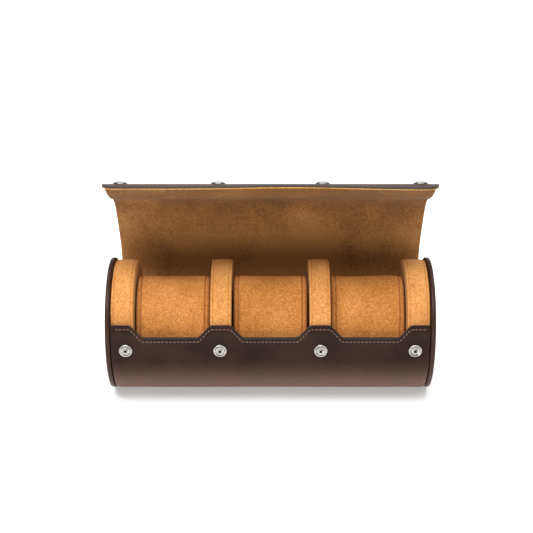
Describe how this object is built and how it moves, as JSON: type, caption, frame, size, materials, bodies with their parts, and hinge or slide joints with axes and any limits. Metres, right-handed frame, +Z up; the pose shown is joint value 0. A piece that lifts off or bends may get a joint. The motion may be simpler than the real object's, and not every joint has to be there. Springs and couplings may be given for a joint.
{
  "type": "watch box",
  "caption": "Cylindrical leather watch roll with a hinged snap flap, scalloped front edge, padded round dividers and removable suede watch pillows.",
  "frame": {"origin": "centre of the narrow flat that the roll stands on", "axes": "+X along the roll to the viewer's right, -Y to the front with the snap studs, +Z up"},
  "size_m": [0.246, 0.1148, 0.1786],
  "materials": {
    "leather": "smooth dark brown, semi-gloss",
    "suede": "golden tan suede, matt with a nap",
    "flap_suede": "brown tan suede, matt with a nap",
    "foam": "foam filling, not seen",
    "board": "grey board stiffener, not seen",
    "nickel": "bright nickel plate",
    "spring_steel": "plain spring wire"
  },
  "bodies": {
    "body": {"body_leather": "leather", "body_lining": "suede", "divider_1_core": "foam", "divider_1_face_right": "suede", "divider_1_rim": "suede", "divider_2_core": "foam", "divider_2_face_left": "suede", "divider_2_face_right": "suede", "divider_2_rim": "suede", "divider_3_core": "foam", "divider_3_face_left": "suede", "divider_3_face_right": "suede", "divider_3_rim": "suede", "divider_4_core": "foam", "divider_4_face_left": "suede", "divider_4_rim": "suede", "end_cap_left_board": "board", "end_cap_left_leather": "leather", "end_cap_right_board": "board", "end_cap_right_leather": "leather", "shell_board": "board", "snap_eyelet_1": "nickel", "snap_eyelet_2": "nickel", "snap_eyelet_3": "nickel", "snap_eyelet_4": "nickel", "snap_stud_1": "nickel", "snap_stud_2": "nickel", "snap_stud_3": "nickel", "snap_stud_4": "nickel"},
    "lid_rear": {"lid_rear_leather": "leather", "lid_rear_lining": "flap_suede"},
    "lid_mid": {"lid_mid_leather": "leather", "lid_mid_lining": "flap_suede"},
    "lid_front": {"lid_front_leather": "leather", "lid_front_lining": "flap_suede", "snap_cap_1": "nickel", "snap_cap_2": "nickel", "snap_cap_3": "nickel", "snap_cap_4": "nickel", "snap_socket_1": "nickel", "snap_socket_2": "nickel", "snap_socket_3": "nickel", "snap_socket_4": "nickel", "snap_spring_1": "spring_steel", "snap_spring_2": "spring_steel", "snap_spring_3": "spring_steel", "snap_spring_4": "spring_steel"},
    "pillow_1": {"pillow_1_end_left": "suede", "pillow_1_end_right": "suede", "pillow_1_foam": "foam", "pillow_1_sleeve": "suede"},
    "pillow_2": {"pillow_2_end_left": "suede", "pillow_2_end_right": "suede", "pillow_2_foam": "foam", "pillow_2_sleeve": "suede"},
    "pillow_3": {"pillow_3_end_left": "suede", "pillow_3_end_right": "suede", "pillow_3_foam": "foam", "pillow_3_sleeve": "suede"}
  },
  "joints": [
    {"name": "lid_hinge", "type": "hinge", "parent": "body", "child": "lid_rear", "pos_m": [0, 0.0507, 0.0482], "axis": [-1, 0, 0], "range_deg": [-32, 18]},
    {"name": "lid_bend_1", "type": "hinge", "parent": "lid_rear", "child": "lid_mid", "pos_m": [0, 0.05105, 0.10893], "axis": [-1, 0, 0], "range_deg": [-27.5, 15.5]},
    {"name": "lid_bend_2", "type": "hinge", "parent": "lid_mid", "child": "lid_front", "pos_m": [0, 0.00414, 0.15343], "axis": [-1, 0, 0], "range_deg": [-50, 25]},
    {"name": "pillow_1_lift", "type": "slide", "parent": "body", "child": "pillow_1", "axis": [0, -0.0698, 0.9976], "range_m": [0, 0.064]},
    {"name": "pillow_2_lift", "type": "slide", "parent": "body", "child": "pillow_2", "axis": [0, -0.0698, 0.9976], "range_m": [0, 0.064]},
    {"name": "pillow_3_lift", "type": "slide", "parent": "body", "child": "pillow_3", "axis": [0, -0.0698, 0.9976], "range_m": [0, 0.064]}
  ],
  "couplings": [
    {"joint": "lid_bend_1", "follows": "lid_hinge", "ratio": 0.8593}
  ]
}
